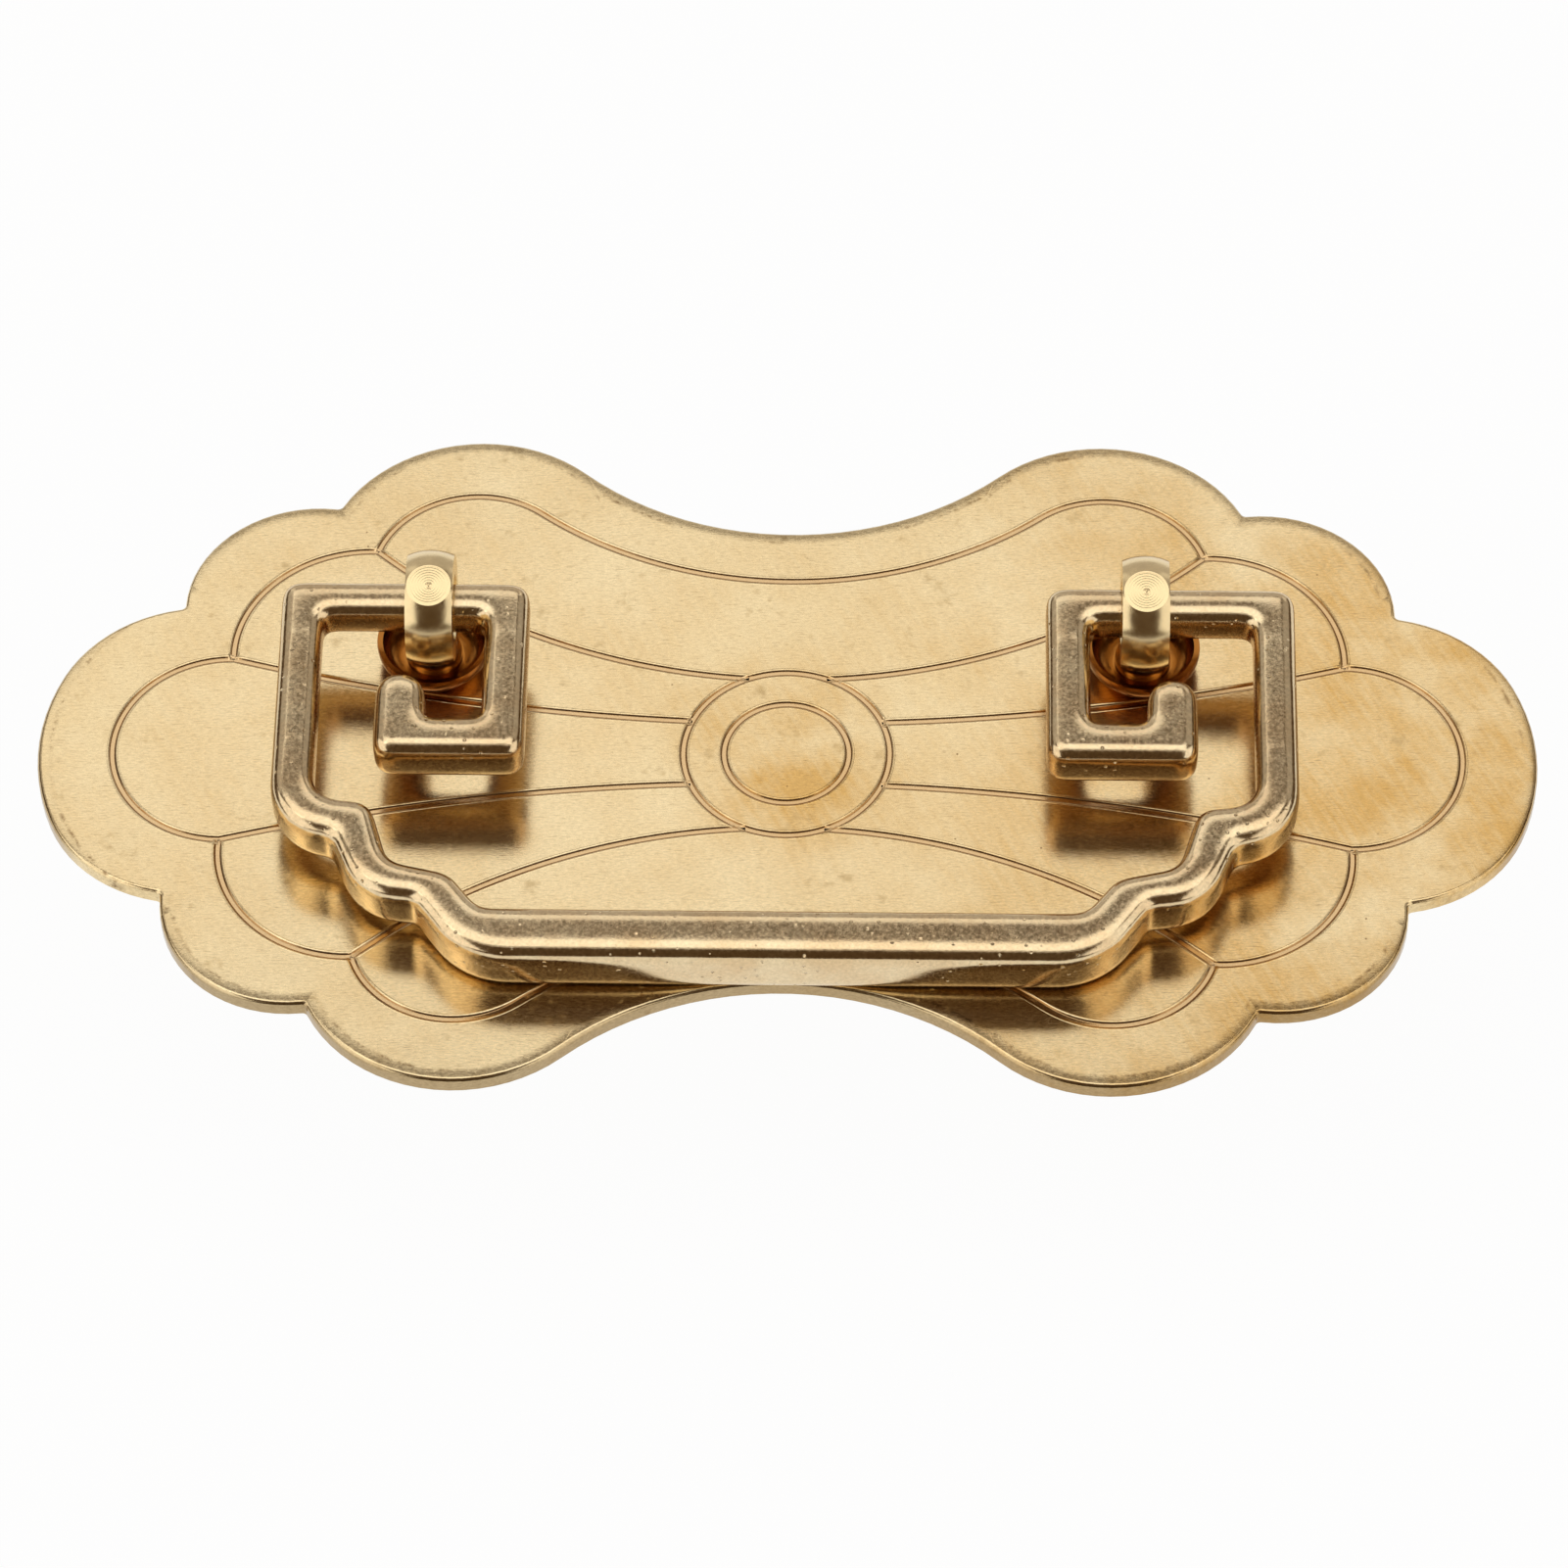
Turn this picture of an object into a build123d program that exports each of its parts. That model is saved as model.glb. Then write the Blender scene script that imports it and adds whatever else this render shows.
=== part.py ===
from build123d import *
from math import asin, atan2, cos, degrees, hypot, radians, sin
import os

# Brass drawer pull: a stamped cloud-shaped back plate, two turned eye posts on cup washers,
# and a cast bail with key-fret ends that swings in the eyes.
# Sizes in millimetres. The plate's back lies on Z = 0, +Z points out of the drawer front,
# X runs along the plate, and the bail lies towards -Y.

# Back plate outline, a quarter of it: end, diagonal and upper lobes, then the waist
plate_length = 134.4
plate_width = 73.0
plate_thickness = 1.4
waist_width = 51.5
tip_radius = 20.9
end_radius = 13.5
tip_angle = 23.4
diagonal_center = (43.35, 16.73)
diagonal_radius = 11.73
upper_center_x = 28.56
upper_radius = 14.4
cusp_round = 0.5
plate_edge_round = 0.4

# Stamped line tracery on the plate's face
groove_width = 1.0
groove_depth = 0.28
groove_joint_swell = 0.03
end_groove_x = 50.2
end_groove_radius = 10.3
diagonal_groove_center = (38.25, 11.1)
diagonal_groove_radius = 12.05
upper_groove_center = (28.75, 20.4)
upper_groove_radius = 9.45
waist_groove_width = 40.0
spoke_offset = 3.4
rib_offset = 8.45
ring_radius = 9.25
inner_ring_radius = 5.6

# Drilling and eye posts
hole_spacing = 64.0
post_line = 10.5
shoulder_radius = 2.2
hole_clearance = 0.06
stud_radius = 2.0
drawer_front = 20.0
thread_pitch_radius = 1.77
stud_tail = 5.5
stud_chamfer = 0.4
bead_radius = 2.5
bead_seat_radius = 2.4
bead_height = 1.65
neck_radius = 2.0
eye_height = 7.3
eye_radius = 5.2
eye_width = 4.2
eye_bore_radius = 2.8
eye_bore_chamfer = 0.25
facet_radius = 2.0
facet_tilt = 15.0

# Cup washers under the eyes
cup_sheet = 0.5
cup_base_radius = 2.7
cup_rim_radius = 5.1
cup_depth = 2.8

# Washers and nuts behind the drawer front
washer_radius = 4.5
washer_bore_radius = 2.15
washer_thickness = 0.8
nut_across_flats = 7.0
nut_thickness = 3.2
nut_bevel = 30.0
thread_clearance = 0.02

# Bail: x from the middle, reach measured from the pivot bar towards the grip
rest_gap = 0.2
pivot_bar_width = 3.8
pivot_bar_thickness = 4.0
grip_width = 5.3
grip_thickness = 5.7
grip_reach = 37.6
bail_half_width = 45.4
side_bar_width = 3.8
fret_inner_x = 23.1
fret_bar_width = 4.0
fret_reach = 16.7
fret_foot_width = 4.2
curl_outer_x = 36.6
curl_width = 4.5
curl_tip_reach = 7.8
notch_round = 0.8
corner_round = 1.6
curl_round = 2.15
bail_face_round = 1.25
bail_back_round = 1.0

# Scalloped corner of the bail: where its tangents meet as (x, reach), and the roundings
grip_lobe_x = 27.9
grip_lobe_radius = 8.0
lower_notch = (32.2, 31.75)
middle_lobe = (37.2, 31.4)
middle_lobe_radius = 5.8
upper_notch = (39.75, 25.3)
lobe_notch_round = 0.6
side_lobe_reach = 24.15
side_lobe_radius = 5.8
side_hollow_reach = 21.0
side_hollow_radius = 2.6
upper_bump = (36.4, 21.5)
upper_bump_radius = 1.9
middle_hollow = (34.6, 27.55)
middle_hollow_radius = 2.2
lower_bump = (29.1, 28.8)
lower_bump_radius = 2.5
grip_hollow_x = 26.4
grip_hollow_radius = 2.2

# Places that follow from the sizes above
post_x = hole_spacing / 2
hole_radius = shoulder_radius + hole_clearance
eye_z = plate_thickness + eye_height
pivot_y = post_line
pivot_z = eye_z


def bearing(center, point):
    return degrees(atan2(point[1] - center[1], point[0] - center[0]))


def along(center, radius, angle):
    return (
        center[0] + radius * cos(radians(angle)),
        center[1] + radius * sin(radians(angle)),
    )


def crossing(center_a, radius_a, center_b, radius_b):
    # Where two circles cross, the crossing with the larger X and Y
    dx, dy = center_b[0] - center_a[0], center_b[1] - center_a[1]
    apart = hypot(dx, dy)
    foot = (radius_a**2 - radius_b**2 + apart**2) / (2 * apart)
    rise = (radius_a**2 - foot**2) ** 0.5
    foot_x, foot_y = center_a[0] + foot * dx / apart, center_a[1] + foot * dy / apart
    ends = [
        (foot_x - side * rise * dy / apart, foot_y + side * rise * dx / apart)
        for side in (1, -1)
    ]
    return max(ends, key=sum)


def waist_radius(lobe_center, lobe_radius, width):
    # A hollow arc centred on the Y axis that leaves the lobe smoothly
    drop = width / 2 - lobe_center[1]
    run = lobe_center[0] ** 2 + drop**2 - lobe_radius**2
    return run / (2 * (lobe_radius - drop))


def bow_radius(point, offset):
    # An arc through the point that is flat where it crosses the Y axis at this offset
    rise = point[1] - offset
    return (point[0] ** 2 + rise**2) / (2 * rise)


def turn(center, radius, start, end):
    return CenterArc(center, radius, start, end - start)


# Back plate
tip_center = (plate_length / 2 - tip_radius, 0)
end_center = along(tip_center, tip_radius - end_radius, tip_angle)
upper_center = (upper_center_x, plate_width / 2 - upper_radius)
end_cusp = crossing(end_center, end_radius, diagonal_center, diagonal_radius)
upper_cusp = crossing(diagonal_center, diagonal_radius, upper_center, upper_radius)
hollow_radius = waist_radius(upper_center, upper_radius, waist_width)
hollow_center = (0, waist_width / 2 + hollow_radius)

end_groove_center = (end_groove_x, 0)
end_joint = crossing(
    end_groove_center, end_groove_radius, diagonal_groove_center, diagonal_groove_radius
)
upper_joint = crossing(
    diagonal_groove_center, diagonal_groove_radius, upper_groove_center, upper_groove_radius
)
waist_groove_radius = waist_radius(upper_groove_center, upper_groove_radius, waist_groove_width)
waist_groove_center = (0, waist_groove_width / 2 + waist_groove_radius)


# Tracery arcs as centre, radius, start and end angles, in the first quadrant or across an axis
spoke_radius = bow_radius(end_joint, spoke_offset)
spoke_center = (0, spoke_offset + spoke_radius)
rib_radius = bow_radius(upper_joint, rib_offset)
rib_center = (0, rib_offset + rib_radius)


def groove_run(center, radius, first, last):
    start, end = bearing(center, first), bearing(center, last)
    return (center, radius, min(start, end), max(start, end))


meet_radius = ring_radius + groove_width / 4
lobe_angle = bearing(upper_groove_center, waist_groove_center)
lobe_end = along(upper_groove_center, upper_groove_radius, lobe_angle)
end_run = groove_run(end_groove_center, end_groove_radius, (end_joint[0], -end_joint[1]), end_joint)
waist_run = groove_run(waist_groove_center, waist_groove_radius, (-lobe_end[0], lobe_end[1]), lobe_end)
quarter_runs = [
    groove_run(diagonal_groove_center, diagonal_groove_radius, end_joint, upper_joint),
    groove_run(upper_groove_center, upper_groove_radius, upper_joint, lobe_end),
]
for center, radius, joint in (
    (spoke_center, spoke_radius, end_joint),
    (rib_center, rib_radius, upper_joint),
):
    meet = crossing((0, 0), meet_radius, center, radius)
    quarter_runs.append(groove_run(center, radius, meet, joint))


def groove(center, radius, start, end, side_x=1, side_y=1):
    # A round-ended groove along an arc, mirrored into the quadrant asked for
    place = Plane(origin=(side_x * center[0], side_y * center[1], 0))
    if side_x < 0:
        start, end = 180 - end, 180 - start
    if side_y < 0:
        start, end = -end, -start
    SlotArc(Edge.make_circle(radius, place, start, end), groove_width)


with BuildPart() as back_plate:
    with BuildSketch():
        with BuildLine():
            turn(tip_center, tip_radius, 0, tip_angle)
            turn(end_center, end_radius, tip_angle, bearing(end_center, end_cusp))
            turn(
                diagonal_center,
                diagonal_radius,
                bearing(diagonal_center, end_cusp),
                bearing(diagonal_center, upper_cusp),
            )
            turn(
                upper_center,
                upper_radius,
                bearing(upper_center, upper_cusp),
                bearing(upper_center, hollow_center),
            )
            turn(hollow_center, hollow_radius, bearing(hollow_center, upper_center), -90)
            mirror(about=Plane.XZ)
            mirror(about=Plane.YZ)
        make_face()
        with Locations((post_x, post_line), (-post_x, post_line)):
            Circle(hole_radius, mode=Mode.SUBTRACT)
    extrude(amount=plate_thickness)
    cusps = [
        edge
        for edge in back_plate.edges().filter_by(Axis.Z).filter_by(GeomType.LINE)
        for cusp in (end_cusp, upper_cusp)
        if hypot(abs(edge.center().X) - cusp[0], abs(edge.center().Y) - cusp[1]) < cusp_round
    ]
    fillet(cusps, radius=cusp_round)
    rim = back_plate.faces().sort_by(Axis.Z)[-1].outer_wire().edges()
    fillet(rim, radius=plate_edge_round)
    with BuildSketch(Plane.XY.offset(plate_thickness)):
        for radius in (ring_radius, inner_ring_radius):
            Circle(radius + groove_width / 2)
            Circle(radius - groove_width / 2, mode=Mode.SUBTRACT)
        for side_x in (1, -1):
            groove(*end_run, side_x)
            for side_y in (1, -1):
                for run in quarter_runs:
                    groove(*run, side_x, side_y)
                for joint in (end_joint, upper_joint, lobe_end):
                    with Locations((side_x * joint[0], side_y * joint[1])):
                        Circle(groove_width / 2 + groove_joint_swell)
        for side_y in (1, -1):
            groove(*waist_run, 1, side_y)
    extrude(amount=-groove_depth, mode=Mode.SUBTRACT)


# Planes on a post's axis: upright along X, upright along Y, and level
def front_plane(x, z):
    return Plane(origin=(x, post_line, z), x_dir=(1, 0, 0), z_dir=(0, -1, 0))


def side_on_plane(x, z):
    return Plane(origin=(x, post_line, z), x_dir=(0, 1, 0), z_dir=(1, 0, 0))


def level_plane(x, z):
    return Plane(origin=(x, post_line, z))


def post_axis(x):
    return Axis((x, post_line, 0), (0, 0, 1))


# Cup washer: a stamped bowl whose wall leaves the base level and stands up at the rim
wall_run = cup_rim_radius - cup_base_radius
wall_radius = (wall_run**2 + cup_depth**2) / (2 * cup_depth)
wall_sweep = degrees(atan2(wall_run, wall_radius - cup_depth))


def cup_washer(x):
    with BuildPart() as cup:
        with BuildSketch(front_plane(x, plate_thickness)):
            with BuildLine():
                wall_center = (cup_base_radius, wall_radius)
                outer = turn(wall_center, wall_radius, -90, -90 + wall_sweep)
                inner = turn(wall_center, wall_radius - cup_sheet, -90, -90 + wall_sweep)
                Line(outer @ 1, inner @ 1)
                Line(inner @ 0, (hole_radius, cup_sheet))
                Line((hole_radius, cup_sheet), (hole_radius, 0))
                Line((hole_radius, 0), outer @ 0)
            make_face()
        revolve(axis=post_axis(x))
    return cup


# Eye post: stud, shoulder, bead and ball turned in one, then milled flat and bored
def eye_post(x):
    seat = plate_thickness + cup_sheet
    bead_top = seat + bead_height
    ball_foot = eye_z - (eye_radius**2 - neck_radius**2) ** 0.5
    stud_end = -drawer_front - stud_tail
    with BuildPart() as post:
        with BuildSketch(front_plane(x, 0)):
            with BuildLine():
                stem = Polyline(
                    (0, stud_end),
                    (thread_pitch_radius - stud_chamfer, stud_end),
                    (thread_pitch_radius, stud_end + stud_chamfer),
                    (thread_pitch_radius, -drawer_front),
                    (stud_radius, -drawer_front),
                    (stud_radius, 0),
                    (shoulder_radius, 0),
                    (shoulder_radius, seat),
                    (bead_seat_radius, seat),
                )
                bead = ThreePointArc(
                    stem @ 1,
                    (bead_radius, seat + bead_height / 2),
                    (neck_radius, bead_top),
                )
                Line(bead @ 1, (neck_radius, ball_foot))
                turn((0, eye_z), eye_radius, bearing((0, eye_z), (neck_radius, ball_foot)), 90)
                Line((0, eye_z + eye_radius), (0, stud_end))
            make_face()
        revolve(axis=post_axis(x))
        for side in (1, -1):
            with BuildSketch(side_on_plane(x + side * eye_width / 2, eye_z)):
                with Locations((0, (eye_radius + bead_top - eye_z) / 2)):
                    Rectangle(2 * eye_radius, eye_radius - bead_top + eye_z)
            extrude(amount=side * eye_radius, mode=Mode.SUBTRACT)
        with BuildSketch(side_on_plane(x, eye_z)):
            Circle(eye_bore_radius)
        extrude(amount=eye_width, both=True, mode=Mode.SUBTRACT)
        chamfer(
            post.edges().filter_by(GeomType.CIRCLE).filter_by(
                lambda edge: abs(edge.radius - eye_bore_radius) < eye_bore_chamfer
                and abs(edge.center().Z - eye_z) < eye_bore_chamfer
            ),
            length=eye_bore_chamfer,
        )
        facet_height = (eye_radius**2 - facet_radius**2) ** 0.5
        lean = (0, -sin(radians(facet_tilt)), cos(radians(facet_tilt)))
        facet_center = Vector(x, post_line, eye_z) + Vector(*lean) * facet_height
        with BuildSketch(Plane(origin=facet_center, x_dir=(1, 0, 0), z_dir=lean)):
            Circle(eye_radius)
        extrude(amount=eye_radius, mode=Mode.SUBTRACT)
    return post


# Flat washer and hex nut behind the drawer front
def flat_washer(x):
    with BuildPart() as washer:
        with BuildSketch(level_plane(x, -drawer_front)):
            Circle(washer_radius)
            Circle(washer_bore_radius, mode=Mode.SUBTRACT)
        extrude(amount=-washer_thickness)
    return washer


def hex_nut(x):
    top = -drawer_front - washer_thickness
    corner_radius = nut_across_flats / 3**0.5
    flat_radius = nut_across_flats / 2
    bevel_drop = (corner_radius - flat_radius) * sin(radians(nut_bevel)) / cos(radians(nut_bevel))
    with BuildPart() as nut:
        with BuildSketch(level_plane(x, top)):
            RegularPolygon(corner_radius, 6)
            Circle(thread_pitch_radius + thread_clearance, mode=Mode.SUBTRACT)
        extrude(amount=-nut_thickness)
        with BuildSketch(front_plane(x, top)):
            with BuildLine():
                Polyline(
                    (0, 0),
                    (flat_radius, 0),
                    (corner_radius, -bevel_drop),
                    (corner_radius, bevel_drop - nut_thickness),
                    (flat_radius, -nut_thickness),
                    (0, -nut_thickness),
                    close=True,
                )
            make_face()
        revolve(axis=post_axis(x), mode=Mode.INTERSECT)
    return nut


# Bail: one casting, its half outline drawn from the grip round the steps and the key fret
def half_thickness(reach):
    growth = (grip_thickness - pivot_bar_thickness) / 2
    return pivot_bar_thickness / 2 + growth * reach / (grip_reach - grip_width / 2)


lowest_reach = grip_reach - bail_back_round
lowest_half = half_thickness(lowest_reach)
drop = pivot_z - plate_thickness - rest_gap
bail_tilt = asin(drop / hypot(lowest_reach, lowest_half)) - atan2(lowest_half, lowest_reach)
bail_plane = Plane(
    origin=(0, pivot_y, pivot_z),
    x_dir=(1, 0, 0),
    z_dir=(0, -sin(bail_tilt), cos(bail_tilt)),
)
side_plane = Plane(origin=(0, pivot_y, pivot_z), x_dir=bail_plane.y_dir, z_dir=(1, 0, 0))

half_bar = pivot_bar_width / 2
curl_inner_x = curl_outer_x - curl_width
fret_outer_x = fret_inner_x + fret_bar_width
side_inner_x = bail_half_width - side_bar_width
foot_reach = fret_reach - fret_foot_width
grip_back = grip_reach - grip_width

# Corner points of the half outline as (x, reach), each with the radius of its rounding
corners = [
    (grip_lobe_x, grip_reach, grip_lobe_radius),
    (*lower_notch, lobe_notch_round),
    (*middle_lobe, middle_lobe_radius),
    (*upper_notch, lobe_notch_round),
    (bail_half_width, side_lobe_reach, side_lobe_radius),
    (bail_half_width, -half_bar, corner_round),
    (fret_inner_x, -half_bar, corner_round),
    (fret_inner_x, fret_reach, corner_round),
    (curl_outer_x, fret_reach, corner_round),
    (curl_outer_x, curl_tip_reach, curl_round),
    (curl_inner_x, curl_tip_reach, curl_round),
    (curl_inner_x, foot_reach, notch_round),
    (fret_outer_x, foot_reach, notch_round),
    (fret_outer_x, half_bar, notch_round),
    (side_inner_x, half_bar, notch_round),
    (side_inner_x, side_hollow_reach, side_hollow_radius),
    (*upper_bump, upper_bump_radius),
    (*middle_hollow, middle_hollow_radius),
    (*lower_bump, lower_bump_radius),
    (grip_hollow_x, grip_back, grip_hollow_radius),
]

with BuildPart() as bail:
    with BuildSketch(bail_plane):
        with BuildLine():
            FilletPolyline(
                (0, -grip_reach),
                *[(x, -reach) for x, reach, rounding in corners],
                (0, -grip_back),
                radius=[rounding for x, reach, rounding in corners],
            )
            mirror(about=Plane.YZ)
        make_face()
    extrude(amount=grip_thickness, both=True)
    with BuildSketch(side_plane):
        with BuildLine():
            top_half = half_thickness(-pivot_bar_width)
            foot_half = half_thickness(grip_reach + grip_width)
            Polyline(
                (pivot_bar_width, top_half),
                (-grip_reach - grip_width, foot_half),
                (-grip_reach - grip_width, -foot_half),
                (pivot_bar_width, -top_half),
                close=True,
            )
        make_face()
    extrude(amount=bail_half_width + side_bar_width, both=True, mode=Mode.INTERSECT)
    normal = Axis(bail_plane.origin, bail_plane.z_dir)
    flats = bail.faces().filter_by(GeomType.PLANE).sort_by(normal)
    face_edges = flats[-1].edges()
    fillet(flats[0].edges(), radius=bail_back_round)
    fillet(face_edges, radius=bail_face_round)


# Finished pieces, one file each
pieces = {"back_plate": back_plate, "bail": bail}
for side, x in (("left", -post_x), ("right", post_x)):
    pieces[f"eye_post_{side}"] = eye_post(x)
    pieces[f"cup_washer_{side}"] = cup_washer(x)
    pieces[f"flat_washer_{side}"] = flat_washer(x)
    pieces[f"hex_nut_{side}"] = hex_nut(x)

os.makedirs("parts", exist_ok=True)
for name, piece in pieces.items():
    piece.part.label = name
    export_step(piece.part, f"parts/{name}.step")

print(f"bail pivot at Y {pivot_y:.3f}, Z {pivot_z:.3f}, resting tilt {degrees(bail_tilt):.2f} degrees")
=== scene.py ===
import math

import bpy
import numpy as np
from mathutils import Matrix, Vector


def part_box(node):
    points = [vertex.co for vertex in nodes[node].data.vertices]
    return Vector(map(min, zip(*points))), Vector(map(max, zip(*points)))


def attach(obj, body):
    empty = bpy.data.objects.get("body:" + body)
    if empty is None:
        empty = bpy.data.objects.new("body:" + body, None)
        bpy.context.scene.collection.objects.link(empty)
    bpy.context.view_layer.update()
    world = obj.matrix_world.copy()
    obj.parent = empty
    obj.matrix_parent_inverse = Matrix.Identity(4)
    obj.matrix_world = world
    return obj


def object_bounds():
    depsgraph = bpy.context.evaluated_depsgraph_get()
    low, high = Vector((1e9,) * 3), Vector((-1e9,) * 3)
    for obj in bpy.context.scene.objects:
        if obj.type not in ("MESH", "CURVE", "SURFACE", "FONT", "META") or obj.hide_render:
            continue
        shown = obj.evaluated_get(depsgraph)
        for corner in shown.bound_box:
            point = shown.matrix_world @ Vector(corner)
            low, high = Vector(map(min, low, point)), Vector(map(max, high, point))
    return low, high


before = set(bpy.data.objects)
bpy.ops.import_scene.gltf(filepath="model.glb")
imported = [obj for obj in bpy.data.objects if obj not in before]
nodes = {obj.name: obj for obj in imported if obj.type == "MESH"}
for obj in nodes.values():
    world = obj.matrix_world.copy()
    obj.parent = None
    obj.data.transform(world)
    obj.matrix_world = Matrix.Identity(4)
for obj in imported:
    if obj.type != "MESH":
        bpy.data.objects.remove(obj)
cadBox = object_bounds()
mm = 0.001
print("frame loaded:", len(nodes), "nodes")


def linearColour(code):
    # sRGB hex to the linear values that the shaders take
    channels = [int(code[i:i + 2], 16) / 255 for i in (1, 3, 5)]
    linear = [c / 12.92 if c <= 0.04045 else ((c + 0.055) / 1.055) ** 2.4 for c in channels]
    return (*linear, 1.0)


def addNode(tree, kind, inputs=None, **settings):
    # one node, its settings, and its sockets as values or links
    node = tree.nodes.new(kind)
    for name, value in settings.items():
        setattr(node, name, value)
    for socket, value in (inputs or {}).items():
        if isinstance(value, bpy.types.NodeSocket):
            tree.links.new(value, node.inputs[socket])
        else:
            node.inputs[socket].default_value = value
    return node


def perMm(size):
    # noise scale whose features are about this many millimetres, on coordinates in metres
    return 1.0 / (size * mm)


def newMaterial(name):
    material = bpy.data.materials.new(name)
    material.use_nodes = True
    tree = material.node_tree
    tree.nodes.clear()
    return material, tree


def maths(tree, operation, one, other=0.0):
    return addNode(tree, "ShaderNodeMath", {0: one, 1: other}, operation=operation).outputs[0]


def vectors(tree, operation, one, other=(0, 0, 0)):
    # the outputs of a vector operation: the first is its vector, "Value" its number
    return addNode(tree, "ShaderNodeVectorMath", {0: one, 1: other}, operation=operation).outputs


def axes(tree, vector):
    return addNode(tree, "ShaderNodeSeparateXYZ", {0: vector}).outputs


def flatMm(tree, where):
    # coordinates in mm with Z left out
    return vectors(tree, "MULTIPLY", where, (1 / mm, 1 / mm, 0))[0]


def ramp(tree, value, low, high, atLow, atHigh):
    # value from low to high becomes atLow to atHigh, held level beyond them
    return addNode(tree, "ShaderNodeMapRange", {
        "Value": value, "From Min": low, "From Max": high,
        "To Min": atLow, "To Max": atHigh}).outputs[0]


def noise(tree, where, size, detail, rough):
    return addNode(tree, "ShaderNodeTexNoise", {
        "Vector": where, "Scale": perMm(size), "Detail": detail, "Roughness": rough}).outputs["Fac"]


def stretched(tree, where, along, across, angle):
    # coordinates for marks this many mm long and wide, turned about Z by an angle in degrees
    spun = addNode(tree, "ShaderNodeVectorRotate", {
        "Vector": where, "Angle": math.radians(angle)}, rotation_type="Z_AXIS").outputs[0]
    return vectors(tree, "MULTIPLY", spun, (1 / along, 1 / across, 1 / across))[0]


def patches(tree, where, layer):
    # a layer of noise, with the span of it that counts drawn out to the layer's levels; its noise is
    # size in mm, detail and roughness, its stretch a mark's length and width in mm and its angle
    if "stretch" in layer:
        where = stretched(tree, where, *layer["stretch"])
    return ramp(tree, noise(tree, where, *layer["noise"]), *layer["span"], *layer["levels"])


def dots(tree, where, cell, radius, share):
    # soft round spots, at most one to a cell, in this share of the cells
    core = 0.4
    cells = addNode(tree, "ShaderNodeTexVoronoi", {"Vector": where, "Scale": perMm(cell)})
    spot = ramp(tree, cells.outputs["Distance"], core * radius / cell, radius / cell, 1.0, 0.0)
    draw = addNode(tree, "ShaderNodeSeparateColor", {0: cells.outputs["Color"]}).outputs[0]
    return maths(tree, "MULTIPLY", spot, maths(tree, "LESS_THAN", draw, share))


def tint(tree, amount, base, code):
    # the base with this amount of a hex colour laid over it
    return addNode(tree, "ShaderNodeMix", {
        0: amount, 6: base, 7: linearColour(code)}, data_type="RGBA").outputs[2]


def marked(tree, name):
    # a value that the mesh keeps at its points
    return addNode(tree, "ShaderNodeAttribute", attribute_name=name).outputs["Fac"]


def bumped(tree, height, depth, under=None, strength=1.0, invert=False):
    # normal of a relief this many mm deep, over another relief's normal
    inputs = {"Height": height, "Strength": strength, "Distance": depth * mm}
    if under is not None:
        inputs["Normal"] = under
    return addNode(tree, "ShaderNodeBump", inputs, invert=invert).outputs[0]


def brassOutput(tree, colour, roughness, normal):
    shader = addNode(tree, "ShaderNodeBsdfPrincipled", {
        "Base Color": colour, "Metallic": 1.0, "Roughness": roughness, "Normal": normal})
    addNode(tree, "ShaderNodeOutputMaterial", {"Surface": shader.outputs[0]})


# back plate's outline arcs in its first quarter, repeated from the part's source in mm
plate = {
    "length": 134.4, "width": 73.0, "waist": 51.5,
    "tipRadius": 20.9, "endRadius": 13.5, "tipAngle": 23.4,
    "diagonal": (43.35, 16.73, 11.73),      # X, Y and radius
    "upperX": 28.56, "upperRadius": 14.4,
    "top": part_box("back_plate")[1].z / mm,
}


def waistCircle(center, radius, width):
    # hollow arc centred on the Y axis that leaves the lobe smoothly
    drop = width / 2 - center[1]
    hollow = (center[0] ** 2 + drop ** 2 - radius ** 2) / (2 * (radius - drop))
    return 0.0, width / 2 + hollow, hollow


def outlineCircles():
    # lobes of the first quarter, then the waist's hollow
    tip = (plate["length"] / 2 - plate["tipRadius"], 0.0)
    swing = math.radians(plate["tipAngle"])
    shift = plate["tipRadius"] - plate["endRadius"]
    end = (tip[0] + shift * math.cos(swing), shift * math.sin(swing))
    upper = (plate["upperX"], plate["width"] / 2 - plate["upperRadius"])
    lobes = [
        (*tip, plate["tipRadius"]), (*end, plate["endRadius"]),
        plate["diagonal"], (*upper, plate["upperRadius"])]
    return lobes, waistCircle(upper, plate["upperRadius"], plate["waist"])


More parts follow.
